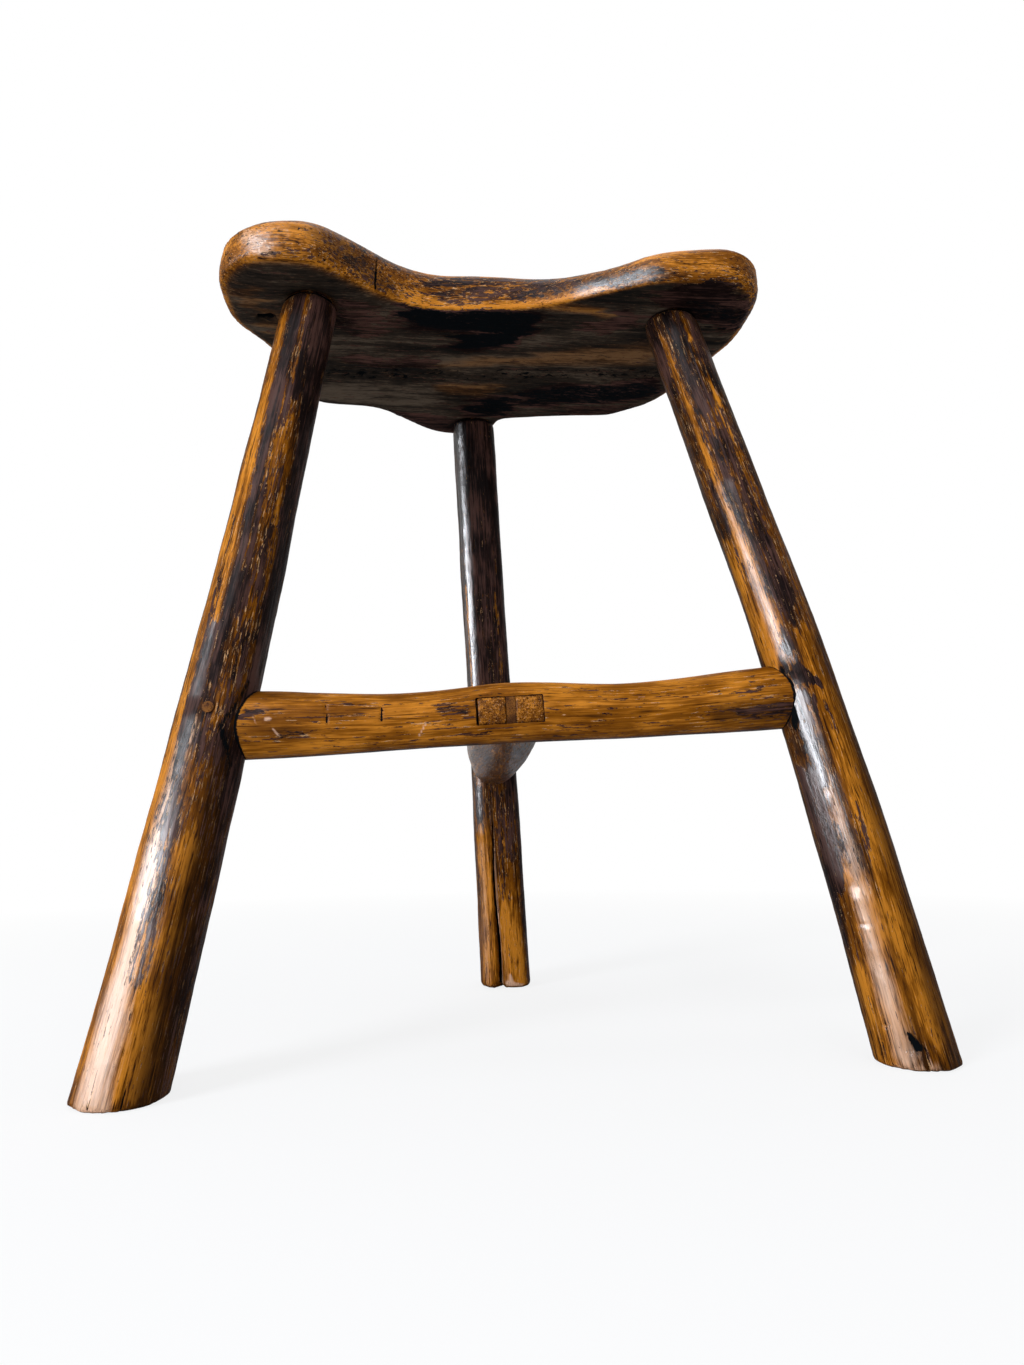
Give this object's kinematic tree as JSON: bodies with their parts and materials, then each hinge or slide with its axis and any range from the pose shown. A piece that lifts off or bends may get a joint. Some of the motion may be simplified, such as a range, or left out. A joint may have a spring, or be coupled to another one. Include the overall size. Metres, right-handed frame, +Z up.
{
  "type": "three-legged stool",
  "caption": "Rustic wooden stool: a dished seat with rounded lobes on splayed round poles, braced by a bowed front stretcher and a tie back to the rear leg.",
  "frame": {"origin": "middle of the stool's outer box, on the floor", "axes": "+Z up, +X from the left leg to the right leg, +Y from the front stretcher back to the rear leg"},
  "size_m": [0.4482, 0.3092, 0.493],
  "materials": {
    "seat_wood": "dark lacquer, rubbed through to brown wood on the underside and to amber on the edges, satin to glossy",
    "leg_wood": "worn dark lacquer in long streaks over amber wood, glossy where polished by use",
    "stretcher_wood": "amber wood polished by feet, dark below, with nicks and scratches",
    "tie_wood": "grey-brown worn lacquer over brown wood, satin",
    "wedge_wood": "end grain and split wood, darkened, dull"
  },
  "bodies": {
    "root": {"seat": "seat_wood", "front_left_leg": "leg_wood", "front_right_leg": "leg_wood", "rear_leg": "leg_wood", "front_stretcher": "stretcher_wood", "rear_tie": "tie_wood", "through_tenon_wedge": "wedge_wood", "front_left_seat_wedge": "wedge_wood", "front_right_seat_wedge": "wedge_wood", "rear_seat_wedge": "wedge_wood", "front_left_peg": "wedge_wood", "front_right_peg": "wedge_wood", "rear_peg": "wedge_wood"}
  },
  "joints": []
}
